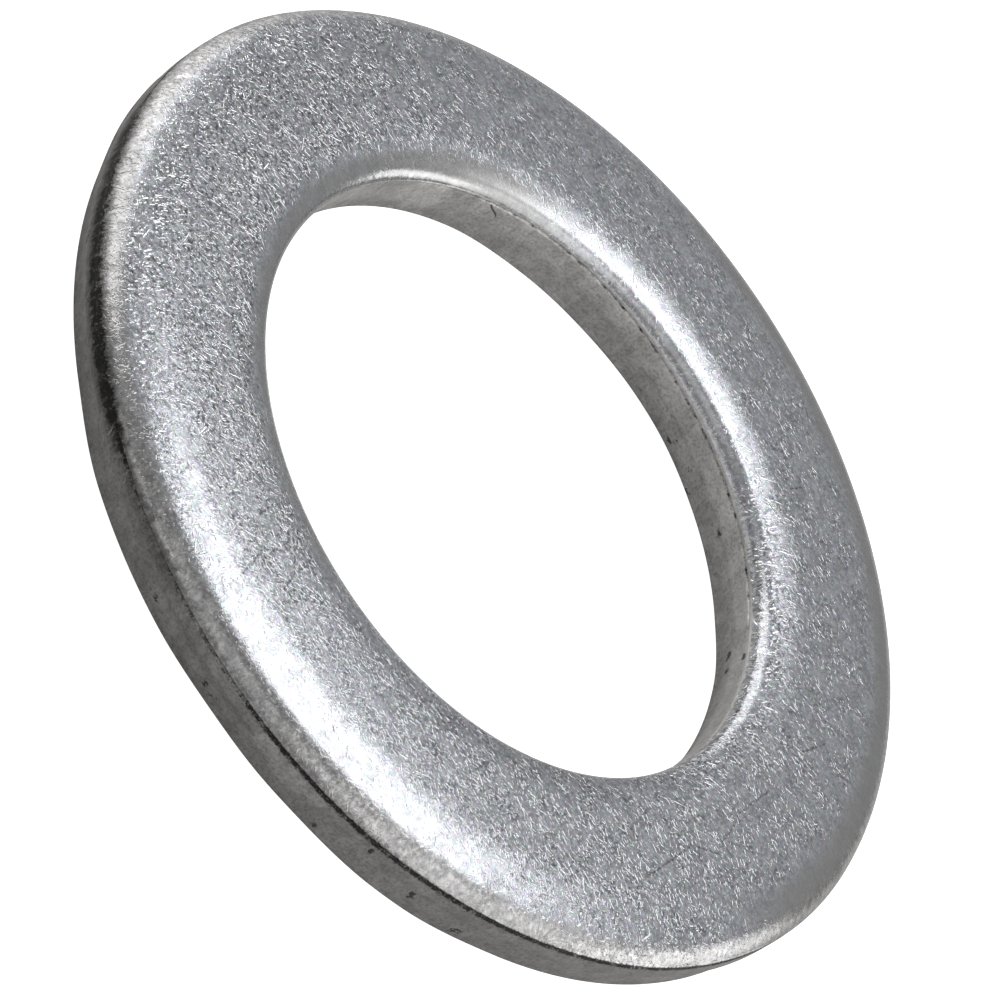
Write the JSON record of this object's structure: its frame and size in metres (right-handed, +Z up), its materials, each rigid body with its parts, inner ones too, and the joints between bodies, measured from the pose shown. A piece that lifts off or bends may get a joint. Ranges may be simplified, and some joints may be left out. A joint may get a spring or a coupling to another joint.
{
  "type": "flat washer",
  "caption": "Flat round steel washer with rolled edges on its upper face and slightly tapered rim and hole walls; it spreads a bolt's load.",
  "frame": {"origin": "centre of the hole at the underside", "axes": "+Z up along the hole's axis, from the underside to the face with the rolled edges"},
  "size_m": [0.037, 0.037, 0.003],
  "materials": {
    "steel": "tumbled and zinc plated, satin grey"
  },
  "bodies": {
    "root": {"washer": "steel"}
  },
  "joints": []
}
